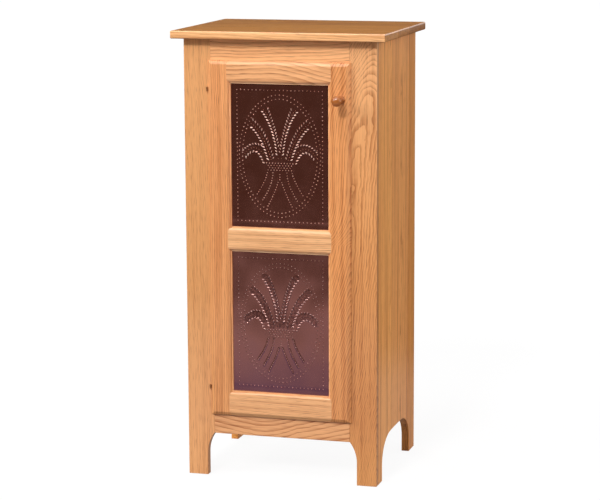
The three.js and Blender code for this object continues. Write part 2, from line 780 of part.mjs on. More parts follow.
// Magnetic catch under the fixed shelf, and its strike plate on the back of the door.
function addCatch() {
  const x = openingHalf - lipOverlap - catchInset - catchWidth / 2;
  const high = fixedShelfLow - fitGap;
  const z = high - catchHeight / 2;
  const strike = [doorBack + fitGap, doorBack + fitGap + strikeThickness];
  const magnetFront = strike[1] + magnetGap;
  const front = magnetFront + magnetProud;
  const centred = (middle, size) => [middle - size / 2, middle + size / 2];
  const magnetX = centred(x, magnetWidth);
  const magnetZ = centred(z, magnetHeight);
  const magnetBack = magnetFront + magnetDepth;
  const slotDepth = [front - overrun, magnetBack + fitGap];
  const slot = block(grown(magnetX, fitGap), slotDepth, grown(magnetZ, fitGap));
  const body = block(centred(x, catchWidth), [front, front + catchDepth], [high - catchHeight, high])
    .subtract(slot);
  piece('catch_body', body, catchPlastic);
  piece('catch_magnet', block(magnetX, [magnetFront, magnetBack], magnetZ), magnetGrey);
  piece('catch_strike_plate', block(centred(x, strikeWidth), strike, centred(z, strikeHeight)), steel);
}

addTop();
addSides();
addFaceFrame();
addInside();
addDoor();
addHinges();
addKnob();
addCatch();

// The origin: on the floor, below the middle of the whole, from the knob to the back.
pieSafe.position.y = -(knobFront + caseDepth) / 2;

export default pieSafe;
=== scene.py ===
import math
import random
from bisect import bisect

import bpy
from mathutils import Euler, Matrix, Vector


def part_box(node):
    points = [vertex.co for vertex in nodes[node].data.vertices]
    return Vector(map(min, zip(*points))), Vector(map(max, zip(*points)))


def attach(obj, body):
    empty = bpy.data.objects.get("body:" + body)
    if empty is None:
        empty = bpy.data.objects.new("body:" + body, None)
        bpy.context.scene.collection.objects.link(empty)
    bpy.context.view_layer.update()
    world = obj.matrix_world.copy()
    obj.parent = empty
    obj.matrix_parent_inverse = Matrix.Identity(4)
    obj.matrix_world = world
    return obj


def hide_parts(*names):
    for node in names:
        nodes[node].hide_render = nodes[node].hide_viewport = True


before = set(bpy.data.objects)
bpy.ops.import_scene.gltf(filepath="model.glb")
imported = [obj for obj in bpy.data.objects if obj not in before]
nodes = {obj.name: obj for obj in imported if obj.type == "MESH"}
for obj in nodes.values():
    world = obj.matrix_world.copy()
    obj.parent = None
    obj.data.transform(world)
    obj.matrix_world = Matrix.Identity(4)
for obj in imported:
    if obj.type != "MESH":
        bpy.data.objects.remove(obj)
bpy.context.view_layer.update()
millimetre = 0.001


def srgb(red, green, blue):
    # a colour as it is seen on a screen, 0 to 255, as the light values that a shader wants
    def light(value):
        value /= 255
        return value / 12.92 if value <= 0.04045 else ((value + 0.055) / 1.055) ** 2.4
    return (light(red), light(green), light(blue), 1.0)


# Camera: right of the middle, a little above the case, leaning very slightly
cameraView = {
    "place": (1.47078, -5.077223, 1.477003),
    "azimuth": 16.152,
    "down": 10.038,
    "lean": -0.273,
    "lens": 130.317,
    "sensor": 36.0,
    "farthest": 100,
}


def makeCamera(view):
    data = bpy.data.cameras.new("camera")
    data.lens = view["lens"]
    data.sensor_width = view["sensor"]
    data.clip_end = view["farthest"]
    camera = bpy.data.objects.new("camera", data)
    bpy.context.scene.collection.objects.link(camera)
    turn = Matrix.Rotation(math.radians(view["azimuth"]), 4, "Z")
    tilt = Matrix.Rotation(math.radians(90 - view["down"]), 4, "X")
    lean = Matrix.Rotation(math.radians(view["lean"]), 4, "Z")
    camera.matrix_world = Matrix.Translation(view["place"]) @ turn @ tilt @ lean
    bpy.context.scene.camera = camera


makeCamera(cameraView)
print("camera is set")


class Wire:
    # a socket of a node tree; plain sums on wires add Math nodes

    def __init__(self, tree, socket=None):
        self.tree = tree
        self.socket = socket

    def add(self, kind, settings=None, sockets=None, output=0):
        node = self.tree.nodes.new(kind)
        for name, value in (settings or {}).items():
            if name == "stops":
                setStops(node.color_ramp, value)
            else:
                setattr(node, name, value)
        for name, value in (sockets or {}).items():
            target = findSocket(node.inputs, name)
            if isinstance(value, Wire):
                self.tree.links.new(value.socket, target)
            else:
                target.default_value = value
        return Wire(self.tree, findSocket(node.outputs, output) if node.outputs else None)

    def maths(self, operation, *values):
        return self.add("ShaderNodeMath", {"operation": operation}, dict(enumerate(values)))

    def __add__(self, other):
        return self.maths("ADD", self, other)

    def __sub__(self, other):
        return self.maths("SUBTRACT", self, other)

    def __rsub__(self, other):
        return self.maths("SUBTRACT", other, self)

    def __mul__(self, other):
        return self.maths("MULTIPLY", self, other)

    def __truediv__(self, other):
        return self.maths("DIVIDE", self, other)

    __radd__ = __add__
    __rmul__ = __mul__


def findSocket(sockets, name):
    if isinstance(name, int):
        return sockets[name]
    exact = [s for s in sockets if s.identifier == name]
    return exact[0] if exact else sockets[name]


def setStops(colourRamp, stops):
    while len(colourRamp.elements) < len(stops):
        colourRamp.elements.new(0.5)
    for element, (position, value) in zip(colourRamp.elements, stops):
        element.position = position
        element.color = value if hasattr(value, "__len__") else (value, value, value, 1)


def newFinish(name):
    material = bpy.data.materials.new(name)
    material.use_nodes = True
    material.node_tree.nodes.clear()
    return material, Wire(material.node_tree)


def axes(tree, centre):
    point = tree.add("ShaderNodeTexCoord", output="Object")
    moved = tree.add("ShaderNodeVectorMath", {"operation": "SUBTRACT"}, {0: point, 1: centre})
    return {axis: tree.add("ShaderNodeSeparateXYZ", None, {0: moved}, axis.upper()) for axis in "xyz"}


def combined(tree, x, y, z):
    return tree.add("ShaderNodeCombineXYZ", None, {"X": x, "Y": y, "Z": z})


def noise(tree, vector, detail=2.0, roughness=0.5):
    sockets = {"Vector": vector, "Scale": 1.0, "Detail": detail, "Roughness": roughness}
    return tree.add("ShaderNodeTexNoise", None, sockets)


def scattered(tree, point, pattern):
    # noise with its own scale along each axis, and its detail and roughness
    scales, detail, roughness = pattern
    spot = [axis * scale if scale else 0.0 for axis, scale in zip(point, scales)]
    return noise(tree, combined(tree, *spot), detail, roughness)


def swing(value, reach):
    # noise lies about 0.5; this makes it swing round zero instead
    return (value - 0.5) * reach


def ramp(tree, factor, stops, curved=False):
    made = tree.add("ShaderNodeValToRGB", {"stops": stops}, {0: factor})
    if curved:
        made.socket.node.color_ramp.interpolation = "B_SPLINE"
    return made


def smooth(tree, value, low, high):
    sockets = {"Value": value, "From Min": low, "From Max": high}
    return tree.add("ShaderNodeMapRange", {"interpolation_type": "SMOOTHSTEP"}, sockets)


def blendColours(tree, factor, first, second, mode="MIX"):
    settings = {"data_type": "RGBA", "blend_type": mode}
    sockets = {"Factor_Float": factor, "A_Color": first, "B_Color": second}
    return tree.add("ShaderNodeMix", settings, sockets, "Result_Color")


def tinted(tree, colour, tint):
    return blendColours(tree, 1.0, colour, tint, "MULTIPLY")


def bump(tree, height, distance, under=None, strength=1.0, invert=False):
    # the surface rises by its height times a distance, over the bump that lies under it
    sockets = {"Strength": strength, "Distance": distance, "Height": height}
    if under is not None:
        sockets["Normal"] = under
    return tree.add("ShaderNodeBump", {"invert": invert}, sockets)


def lengthOf(tree, first, second):
    # the third side over two at a right angle
    return tree.maths("SQRT", first * first + second * second)


def surface(tree, sockets):
    shader = tree.add("ShaderNodeBsdfPrincipled", None, sockets)
    tree.add("ShaderNodeOutputMaterial", None, {"Surface": shader})


# Oak: growth rings round a pith that lies off the board, cut by the board's faces. What a board
# sets for itself goes before these. A noise has its scales across and along the board, its detail
# and its roughness
oakLook = {
    "late": srgb(238, 171, 111),
    "early": srgb(183, 109, 56),
    "pore": srgb(132, 70, 32),
    "tint": (1, 1, 1),
    "spacing": 4.2 * millimetre,
    "rings": ((0, 0.0), (0.07, 1.0), (0.26, 0.55), (0.55, 0.12), (1, 0.0)),
    "uneven": {"scale": 0.45, "reach": 1.8},
    "slope": 0.02,
    "lean": 0.0,
    "wander": 30 * millimetre,
    "drift": 0.4,
    "ripple": 4 * millimetre,
    "contrast": 0.6,
    "streaks": 1.6,
    "fibres": 1.5,
    "clouds": 0.5,
    "noises": {
        "wander": (9, 2.6, 1.0, 0.5),
        "ripple": (40, 26, 2.0, 0.5),
        "pores": (620, 30, 1.0, 0.5),
        "fibres": (170, 4, 4.0, 0.65),
        "streaks": (75, 1.3, 2.0, 0.55),
        "clouds": (13, 1.8, 1.0, 0.5),
    },
    "poreEdge": (0.5, 0.68),
    "poreInLate": 0.2,
    "poreInEarly": 0.8,
    "poreTone": 0.6,
    "poreDepth": 0.2 * millimetre,
    "poreRelief": 0.35,
    "ringRelief": 0.2,
    "roughness": 0.3,
    "poreDull": 0.15,
    "fibreDull": 0.12,
    "specular": 0.5,
    "coat": 0.5,
    "coatRoughness": 0.12,
    "edgeFade": (0.5 * millimetre, 1.5 * millimetre),
    "endFade": (1.5 * millimetre, millimetre),
}


def risenAlong(tree, along, look):
    # how the rings climb from one end of the board to the other
    if "rise" not in look:
        return along * look["slope"]
    return ramp(tree, along / look["length"] + 0.5, look["rise"], curved=True) * look["lift"]


# The door's front: its lip is shaded like a bevel, and the fillet round each tin is painted paler: painted
# light that lifts it out of the shade of the moulding beside it
doorFront = {
    "bevel": (4 * millimetre, 9.4 * millimetre),
    "height": 1.5 * millimetre,
    "fillet": (5.4 * millimetre, 6.2 * millimetre, 6.8 * millimetre, 7.4 * millimetre),
    "inside": 12 * millimetre,
    "fade": millimetre,
    "pale": (1.34, 1.68, 2.2, 1),
}


def fromLip(tree, door):
    # how far a place on the door is from the nearest outer edge of its lip
    low, high = door
    point = axes(tree, (0, 0, 0))
    x, z = point["x"], point["z"]
    across = tree.maths("MINIMUM", x - low.x, high.x - x)
    return tree.maths("MINIMUM", across, tree.maths("MINIMUM", z - low.z, high.z - z))


def onFillet(tree, place, look, front):
    # 1 on the narrow flat beside a tin, at its depth behind the door's front
    deep = place["y"] - look["surface"]
    start, full, hold, end = front["fillet"]
    found = smooth(tree, deep, start, full) * (1 - smooth(tree, deep, hold, end))
    inside = fromLip(tree, look["door"])
    found = found * smooth(tree, inside, front["inside"], front["inside"] + front["fade"])
    if look["axes"] == level:
        # on a rail, only the flat along its lower edge
        found = found * (1 - smooth(tree, place["z"], 0.0, front["fade"]))
    return found


def oak(name, board):
    look = oakLook | board
    material, tree = newFinish(name)
    place = axes(tree, look["centre"])
    along, across, depth = (place[axis] for axis in look["axes"])
    seed = look["seed"]

    def drawn(kind):
        # a noise that is drawn out along the board
        fine, long, detail, roughness = look["noises"][kind]
        spot = combined(tree, across * fine + seed, depth * fine, along * long + seed)
        return noise(tree, spot, detail, roughness)

    wander = swing(drawn("wander"), look["wander"])
    ripple = swing(drawn("ripple"), look["ripple"])
    side = across - look["pith"][0] - along * look["lean"] + wander
    deep = depth - look["pith"][1]
    radius = lengthOf(tree, side, deep)
    count = (radius + risenAlong(tree, along, look) + ripple + wander * look["drift"]) / look["spacing"]
    uneven = look["uneven"]
    ring = count + noise(tree, combined(tree, count * uneven["scale"], seed, 0.0)) * uneven["reach"]
    early = ramp(tree, tree.maths("FRACT", ring), look["rings"])
    dash = smooth(tree, drawn("pores"), *look["poreEdge"])
    pores = dash * (early * look["poreInEarly"] + look["poreInLate"])
    fibres = drawn("fibres")

    banded = (early * look["contrast"] + swing(fibres, look["fibres"])
              + swing(drawn("clouds"), look["clouds"]) + swing(drawn("streaks"), look["streaks"]))
    body = blendColours(tree, banded, look["late"], look["early"])
    body = blendColours(tree, pores * look["poreTone"], body, look["pore"])
    tint = look["tint"] + (1,)
    # a painted highlight along the front edge of the top's front board
    if "edge" in look:
        start, end = look["edgeFade"]
        inside = smooth(tree, place["y"], look["front"] + start, look["front"] + end)
        tint = blendColours(tree, inside, look["edge"] + (1,), tint)
    if "end" in look:
        start, end = look["endFade"]
        outer = smooth(tree, place["x"], look["length"] / 2 - start, look["length"] / 2 - end)
        tint = blendColours(tree, outer, tint, look["end"] + (1,))
    body = tinted(tree, body, tint)
    # painted light and shade along the board, mostly darker low down and palest near the top
    if "tones" in look:
        tones = [(share, tone + (1,)) for share, tone in look["tones"]]
        body = tinted(tree, body, ramp(tree, along / look["length"] + 0.5, tones))
    # painted light on the fillet round each tin
    if "door" in look:
        paintedLitFillet = tinted(tree, body, doorFront["pale"])
        body = blendColours(tree, onFillet(tree, place, look, doorFront), body, paintedLitFillet)
    relief = bump(tree, pores + early * look["ringRelief"], look["poreDepth"],
                  strength=look["poreRelief"], invert=True)
    if "door" in look:
        start, end = doorFront["bevel"]
        bevel = tree.maths("MINIMUM", (fromLip(tree, look["door"]) - start) / (end - start), 1.0)
        relief = bump(tree, bevel * bevel, doorFront["height"], relief)
    surface(tree, {
        "Base Color": body,
        "Roughness": look["roughness"] + pores * look["poreDull"] + swing(fibres, look["fibreDull"]),
        "Coat Weight": look["coat"],
        "Coat Roughness": look["coatRoughness"],
        "Specular IOR Level": look["specular"],
        "Normal": relief,
    })
    return material


def giveFinish(piece, material):
    piece.data.materials.clear()
    piece.data.materials.append(material)
    for face in piece.data.polygons:
        face.material_index = 0


# Ways a board is cut: the axis along it, the one across its face and the one through it
upright = "zxy"
level = "xzy"
sideways = "zyx"
flat = "xyz"

# Each board: its pith in metres across and through from its middle, how its rings rise from end to
# end as shares of a lift in metres, and its tint, with painted light and shade that change it from end
# to end, mostly darker low down and palest near the top, where the right face stile has a painted
# sheen. The front board of the top has a painted highlight along its front edge, and all three have
# darker ends
boards = {
    "face_stile_left": {
        "axes": upright, "pith": (-0.11, 0.05), "contrast": 0.3, "seed": 1.3, "streaks": 1.0,
        "tint": (0.92, 0.92, 0.87),
        "tones": [(0.05, (1.04, 1.06, 1.2)), (0.42, (0.93, 0.9, 0.88)), (0.95, (1.11, 1.13, 1.22))]},
    "face_stile_right": {
        "axes": upright, "pith": (-0.052, 0.045), "contrast": 0.7, "seed": 2.1, "lean": 0.16,
        "rise": [(0, 0.0), (0.55, 0.18), (0.8, 0.32), (0.86, 0.44), (0.9, 0.4), (1, 1.0)], "lift": 0.07,
        "ripple": 7 * millimetre, "tint": (0.85, 0.775, 0.68),
        "tones": [(0.04, (0.95, 0.96, 0.97)), (0.15, (0.87, 0.83, 0.77)), (0.45, (1.0, 1.0, 0.98)),
                  (0.75, (1.18, 1.27, 1.43)), (0.93, (1.26, 1.47, 1.9))]},
    # The top rail's paler, bluer tint is partly its own tone and partly a painted sheen
    "face_rail_top": {
        "axes": level, "pith": (0.09, 0.05), "contrast": 0.58, "seed": 3.7, "streaks": 0.9,
        "rise": [(0, 0.2), (0.3, 0.0), (0.55, 0.45), (0.8, 0.3), (1, 1.0)], "lift": 0.016,
        "spacing": 7.5 * millimetre, "tint": (1.21, 1.33, 1.56)},
    "face_rail_bottom": {
        "axes": level, "pith": (-0.12, 0.05), "contrast": 0.9, "seed": 4.2,
        "rise": [(0, 0.55), (0.3, 0.95), (0.42, 1.0), (0.6, 0.8), (1, 0.0)], "lift": 0.075,
        "spacing": 12 * millimetre, "tint": (0.93, 0.97, 1.1)},
    "door_stile_left": {
        "axes": upright, "pith": (0.12, 0.04), "contrast": 0.6, "seed": 5.5, "streaks": 0.8,
        "tint": (1.03, 0.98, 0.96),
        "tones": [(0.1, (0.89, 0.87, 0.82)), (0.45, (0.98, 0.97, 0.98)), (0.95, (1.09, 1.08, 1.12))]},
    "door_stile_right": {
        "axes": upright, "pith": (-0.16, 0.04), "contrast": 0.75, "seed": 6.8,
        "rise": [(0, 1.0), (0.5, 0.3), (0.62, 0.24), (0.86, 0.2), (1, 0.0)], "lift": 0.3,
        "spacing": 6.2 * millimetre, "tint": (0.96, 0.85, 0.77),
        "tones": [(0.1, (0.88, 0.88, 0.84)), (0.45, (1.0, 1.0, 0.98)), (0.9, (1.08, 1.11, 1.16))]},
    # The door rails' paler, bluer tints are partly their own tone and partly a painted sheen
    "door_rail_top": {
        "axes": level, "pith": (0.07, 0.045), "contrast": 0.66, "seed": 7.1, "streaks": 0.9,
        "rise": [(0, 0.75), (0.3, 0.9), (0.5, 1.0), (0.75, 0.45), (1, 0.0)], "lift": 0.03,
        "spacing": 9 * millimetre, "tint": (1.13, 1.22, 1.45)},
    "door_rail_middle": {
        "axes": level, "pith": (0.09, 0.03), "contrast": 0.4, "seed": 8.9, "streaks": 1.1,
        "tint": (1.09, 1.26, 1.55)},
    "door_rail_bottom": {
        "axes": level, "pith": (-0.1, 0.02), "contrast": 0.35, "seed": 9.4, "streaks": 1.1,
        "tint": (0.99, 1.08, 1.24)},
    # The top boards' darker, less blue tints are partly their own tone and partly a painted shade on the top
    "top_board_front": {
        "axes": flat, "pith": (0.03, -0.08), "contrast": 0.4, "seed": 10.2, "streaks": 2.4,
        "edge": (1.26, 1.45, 1.68), "end": (0.86, 0.8, 0.62), "tint": (0.82, 0.7, 0.33)},
    "top_board_middle": {
        "axes": flat, "pith": (-0.08, -0.05), "contrast": 0.6, "seed": 11.6, "streaks": 2.4,
        "end": (0.72, 0.62, 0.4), "tint": (0.81, 0.7, 0.32)},
    "top_board_rear": {
        "axes": flat, "pith": (0.02, -0.1), "contrast": 0.6, "seed": 12.3, "streaks": 2.4,
        "end": (0.56, 0.46, 0.3), "tint": (0.75, 0.66, 0.33)},
}
sideBoards = {
    "front": {"pith": (0.06, 0.07), "seed": 14.7, "tint": (1.33, 1.24, 0.87)},
    "middle": {"pith": (0.01, 0.07), "seed": 15.7, "tint": (1.25, 1.14, 0.85)},
    "rear": {"pith": (-0.04, 0.07), "seed": 16.7, "tint": (1.05, 0.88, 0.5)},
}
for side, seedStep in (("left", 4.4), ("right", 0)):
    for part, board in sideBoards.items():
        own = {"axes": sideways, "streaks": 2.2, "seed": board["seed"] + seedStep}
        boards[f"side_board_{side}_{part}"] = board | own

# Boards that only show with the door open, or from behind
insideLook = {"pith": (0.03, 0.06), "contrast": 0.45, "firstSeed": 30, "seedStep": 1.7}
insideBoards = {"bottom_panel": flat, "fixed_shelf": flat, "adjustable_shelf_lower": flat,
                "adjustable_shelf_upper": flat, "back_panel": upright, "top_cleat_front": level,
                "top_cleat_rear": level}
for place in ("lower", "upper"):
    for part, cut in (("bottom", level), ("top", level), ("left", upright), ("right", upright)):
        insideBoards[f"tin_retainer_{place}_{part}"] = cut
for i, (name, cut) in enumerate(insideBoards.items()):
    seed = insideLook["firstSeed"] + insideLook["seedStep"] * i
    boards[name] = insideLook | {"axes": cut, "seed": seed}

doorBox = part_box("door_stile_left")[0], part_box("door_stile_right")[1]
for name, board in boards.items():
    low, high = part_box(name)
    board["centre"] = (low + high) / 2
    board["length"] = (high - low)["xyz".index(board["axes"][0])]
    board["front"] = (low.y - high.y) / 2
    if name.startswith(("door_rail", "door_stile")):
        board["surface"] = doorBox[0].y - board["centre"].y
        board["door"] = doorBox
    giveFinish(nodes[name], oak(f"oak_{name}", board))
print("oak is finished on", len(boards), "boards")


# A turn that makes what points upwards point forwards
forwards = (math.radians(90), 0, 0)


# Modelling helpers: each works on one piece, after everything else is let go of
def only(piece):
    bpy.ops.object.select_all(action="DESELECT")
    piece.select_set(True)
    bpy.context.view_layer.objects.active = piece


def withModifier(piece, kind, settings):
    only(piece)
    modifier = piece.modifiers.new(kind.lower(), kind)
    for name, value in settings.items():
        setattr(modifier, name, value)
    bpy.ops.object.modifier_apply(modifier=modifier.name)


def combine(piece, tool, operation):
    withModifier(piece, "BOOLEAN", {"operation": operation, "solver": "MANIFOLD", "object": tool})
    removePiece(tool)


def copied(piece, matrix):
    another = piece.copy()
    another.data = piece.data.copy()
    another.matrix_world = matrix
    bpy.context.scene.collection.objects.link(another)
    return another


def joined(pieces, name):
    only(pieces[0])
    for piece in pieces:
        piece.select_set(True)
    bpy.ops.object.join()
    settle(pieces[0], name)
    return pieces[0]


def settle(piece, name):
    # the place goes into the mesh, so that the object itself stands at the origin
    only(piece)
    bpy.ops.object.transform_apply(location=True, rotation=True, scale=True)
    piece.name = name
    piece.data.name = name


def removePiece(piece):
    bpy.data.objects.remove(piece, do_unlink=True)


def smoothShade(piece, degrees):
    only(piece)
    bpy.ops.object.shade_smooth_by_angle(angle=math.radians(degrees))


def added(primitive, name, **settings):
    bpy.ops.object.select_all(action="DESELECT")
    primitive(**settings)
    piece = bpy.context.object
    settle(piece, name)
    return piece


def bevelSelected(width, segments, clamped=False):
    bpy.ops.object.mode_set(mode="EDIT")
    bpy.ops.mesh.bevel(offset=width, segments=segments, affect="EDGES", clamp_overlap=clamped)
    bpy.ops.object.mode_set(mode="OBJECT")


# Punched tins: raised marks with a hole in each. The border and both ovals are dots, and the
# sheaf has six ears of grains, a band and stalks; places are shares of the pattern's half sizes
tinLook = {
    "margin": 21.35 * millimetre,
    "dotSpacing": 9.7 * millimetre,
    "stalkSpacing": 6.6 * millimetre,
    "grainSpacing": 7.8 * millimetre,
    "bandSpacing": 7.6 * millimetre,
    "apart": 4.3 * millimetre,
    "grainSlant": 42,
    "kinds": {1: "husk", -1: "grain"},
    "seed": 11,
    "waver": 0.25 * millimetre,
    "sizes": (0.88, 1.1),
    "sink": 0.4 * millimetre,
    "depth": 1.2 * millimetre,
    "brim": 0.25 * millimetre,
    "brimShare": 0.9,
    "smooth": 38,
    "ovals": ((0.955, 0.93), (0.88, 0.868)),
    "rows": (
        (-1, ((0.455, 0.711), (0.199, 0.419), (0.075, 0.032))),
        (1, ((0.275, 0.717), (0.118, 0.42), (0.0, 0.07))),
        (-1, ((0.72, 0.457), (0.473, 0.267), (0.28, -0.045))),
        (1, ((0.625, 0.546), (0.36, 0.33), (0.15, -0.025))),
        (1, ((0.862, 0.08), (0.65, 0.176), (0.43, 0.16))),
        (-1, ((0.795, -0.025), (0.568, 0.064), (0.385, -0.1))),
    ),
    "stalks": (
        ((0.294, -0.25), (0.379, -0.406), (0.54, -0.584)),
        ((0.165, -0.25), (0.227, -0.444), (0.407, -0.673)),
        ((0.045, -0.395), (0.142, -0.571), (0.284, -0.762)),
    ),
    "stems": (
        ((0.37, 0.7), (0.165, 0.43), (0.04, -0.03)),
        ((0.665, 0.49), (0.415, 0.3), (0.205, -0.05)),
        ((0.82, 0.03), (0.61, 0.125), (0.39, 0.04)),
    ),
    "bands": ((-0.105, 0.31), (-0.14, 0.275), (-0.175, 0.24), (-0.21, 0.275)),
    "centreStalk": ((0, -0.235), (0, -0.295), (0, -0.355)),
}
# Kinds of mark, in millimetres: the raised cone's radius at its foot and lip and its rise, the
# radius of the punch behind and of the hole, and how much longer the mark is than it is wide
tinForms = {
    "dot": {"sides": 8, "foot": 1.8, "lip": 0.95, "rise": 0.75, "pit": 1.3, "hole": 0.5, "stretch": 1.0},
    "stem": {"sides": 6, "foot": 1.3, "lip": 0.7, "rise": 0.5, "pit": 0.9, "hole": 0.35, "stretch": 1.0},
    "husk": {"sides": 10, "foot": 1.6, "lip": 0.9, "rise": 0.85, "pit": 1.05, "hole": 0.4, "stretch": 2.4},
    "grain": {"sides": 10, "foot": 1.75, "lip": 1.0, "rise": 1.3, "pit": 1.15, "hole": 0.45, "stretch": 2.3},
}


def patternHalf(low, high, look):
    # half the width and half the height of the pattern on one tin
    return (high.x - low.x) / 2 - look["margin"], (high.z - low.z) / 2 - look["margin"]


def through(places, half):
    # a curve through three places, from 0 to 1
    start, middle, end = (Vector((u * half[0], v * half[1])) for u, v in places)
    bend = 2 * middle - (start + end) / 2
    return lambda t: start * (1 - t) ** 2 + bend * (2 * t * (1 - t)) + end * t ** 2


def evenly(path, spacing, closed=False):
    # places at equal steps along a path, each with the direction there
    steps = 240
    points = [path(i / steps) for i in range(steps + 1)]
    lengths = [0.0]
    for before, after in zip(points, points[1:]):
        lengths.append(lengths[-1] + (after - before).length)
    count = round(lengths[-1] / spacing)
    found = []
    for i in range(count if closed else count + 1):
        wanted = lengths[-1] * i / count
        j = min(bisect(lengths, wanted), steps)
        before, after = points[j - 1], points[j]
        share = (wanted - lengths[j - 1]) / (lengths[j] - lengths[j - 1])
        found.append((before.lerp(after, share), after - before))
    return found


def tinMarks(half, look):
    # every mark of one tin: its kind, place and turn. A mark too near an earlier one is left out
    marks = []

    def add(kind, place, turn=0.0):
        if all((place - other).length > look["apart"] for _, other, _ in marks):
            marks.append((kind, place, turn))

    def addBoth(kind, place, turn=0.0, mirrored=0.0):
        add(kind, place, turn)
        add(kind, Vector((-place.x, place.y)), mirrored)

    corners = [Vector((u * half[0], v * half[1])) for u, v in ((-1, 1), (1, 1), (1, -1), (-1, -1))]
    for i, corner in enumerate(corners):
        following = corners[(i + 1) % 4]
        for place, _ in evenly(lambda t: corner.lerp(following, t), look["dotSpacing"]):
            add("dot", place)
    for wide, high in look["ovals"]:
        def oval(t):
            return Vector((wide * half[0] * math.sin(t * math.tau), high * half[1] * math.cos(t * math.tau)))
        for place, _ in evenly(oval, look["dotSpacing"], closed=True):
            add("dot", place)
    for lean, places in look["rows"]:
        for place, way in evenly(through(places, half), look["grainSpacing"]):
            turn = math.atan2(-way.y, -way.x) + lean * math.radians(look["grainSlant"])
            addBoth(look["kinds"][lean], place, turn, math.pi - turn)
    for places in look["stems"]:
        for place, _ in evenly(through(places, half), look["stalkSpacing"]):
            addBoth("stem", place)
    for height, reach in look["bands"]:
        ends = ((-reach, height), (0, height), (reach, height))
        for place, _ in evenly(through(ends, half), look["bandSpacing"]):
            add("dot", place)
    for places in look["stalks"] + (look["centreStalk"],):
        for place, _ in evenly(through(places, half), look["stalkSpacing"]):
            addBoth("dot", place)
    return marks


def punchForms(kind, look):
    # the raised mark and the punch that hollows it from behind, both pointing forwards
    form = tinForms[kind]
    rise, sink = form["rise"] * millimetre, look["sink"]
    forms = []
    for name, foot, tip, start, end in (
            ("mark", form["foot"], form["lip"], -sink, rise),
            ("punch", form["pit"], form["hole"], -look["depth"], rise + sink)):
        forms.append(added(
            bpy.ops.mesh.primitive_cone_add, f"{kind}_{name}", vertices=form["sides"],
            radius1=foot * millimetre, radius2=tip * millimetre, depth=end - start,
            location=(0, -(start + end) / 2, 0), rotation=forwards))
    # the rim at the mark's front is blunted
    mark = forms[0]
    only(mark)
    bpy.ops.object.mode_set(mode="EDIT")
    bpy.ops.mesh.select_all(action="DESELECT")
    bpy.ops.object.mode_set(mode="OBJECT")
    for edge in mark.data.edges:
        heights = [-mark.data.vertices[i].co.y for i in edge.vertices]
        edge.select = min(heights) > rise * look["brimShare"]
    bevelSelected(look["brim"], 1)
    return forms


def makeTin(node, look):
    low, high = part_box(node)
    centre = (low + high) / 2
    half = patternHalf(low, high, look)
    chance = random.Random(look["seed"])
    masters = {kind: punchForms(kind, look) for kind in tinForms}
    raised, punches = [], []
    for kind, place, turn in tinMarks(half, look):
        waver = look["waver"]
        spot = (centre.x + place.x + chance.uniform(-waver, waver), low.y,
                centre.z + place.y + chance.uniform(-waver, waver))
        size = chance.uniform(*look["sizes"])
        matrix = (Matrix.Translation(spot) @ Matrix.Rotation(-turn, 4, "Y")
                  @ Matrix.Diagonal((size * tinForms[kind]["stretch"], size, size, 1)))
        mark, punch = masters[kind]
        raised.append(copied(mark, matrix))
        punches.append(copied(punch, matrix))
    sheet = added(bpy.ops.mesh.primitive_cube_add, f"{node}_sheet", size=1, location=centre, scale=high - low)
    for operation, pieces in (("UNION", raised), ("DIFFERENCE", punches)):
        combine(sheet, joined(pieces, "tool"), operation)
    for pair in masters.values():
        for piece in pair:
            removePiece(piece)
    withModifier(sheet, "TRIANGULATE", {})
    smoothShade(sheet, look["smooth"])
    return sheet


# Copper: what both tins share. A rise is how many millimetres a mark stands before the sheet, and a
# reach is how far from the middle of an ear or stalk its painted shade, the painted highlight on its
# marks and its swell start to fade and are gone
copperLook = {
    "dark": (0.4, 0.165, 0.13, 1),
    "light": (0.5, 0.23, 0.195, 1),
    "shaded": (0.17, 0.07, 0.065, 1),
    "footRise": (0.08, 0.35),
    "tipRise": (0.4, 1.05),
    "clouds": ((26, 26, 26), 4.0, 0.62),
    "specks": ((700, 700, 700), 2.0, 0.5),
    "dapples": ((210, 0, 210), 1.0, 0.5),
    "dappleEdge": (0.36, 0.62),
    "earReach": (6 * millimetre, 10.5 * millimetre),
    "grainReach": (11 * millimetre, 13 * millimetre),
    "stalkReach": (0.5 * millimetre, 3.5 * millimetre),
    "waves": ((9, 0, 5), 1.0, 0.5),
    "waveHeight": 6 * millimetre,
    "bends": ((16, 0, 0), 2.0, 0.5),
    "bendStart": 14 * millimetre,
    "bendEnd": 27 * millimetre,
    "bendHeight": 0.6 * millimetre,
    "roughness": 0.22,
    "tipDull": 0.16,
    "speckDull": 0.1,
    "cloudDull": 0.12,
}
# What each tin has of its own: the painted shade at its marks' foot and the painted highlight at their
# tip, a dimmer painted highlight away from the ears, how its tone leans across, the heights between
# which those painted colours come in, and how far the ears get painted shade and swell
copperLooks = {
    "tinUpper": {"foot": (0.3, 0.14, 0.11, 1), "tip": (0.95, 0.7, 0.6, 1), "dim": (0.6, 0.4, 0.33, 1),
                 "lean": 0.0, "fade": (-1, -0.9), "shade": 0.0, "ridge": 0.12 * millimetre, "swell": 1.0},
    "tinLower": {"foot": (0.05, 0.02, 0.02, 1), "tip": (0.8, 0.48, 0.43, 1), "dim": (0.7, 0.42, 0.38, 1),
                 "lean": 1.2, "fade": (-0.3, 0.0), "shade": 0.75, "ridge": 0.5 * millimetre, "swell": 0.25},
}


def vectors(tree, operation, first, second, output="Vector"):
    return tree.add("ShaderNodeVectorMath", {"operation": operation}, {0: first, 1: second}, output)


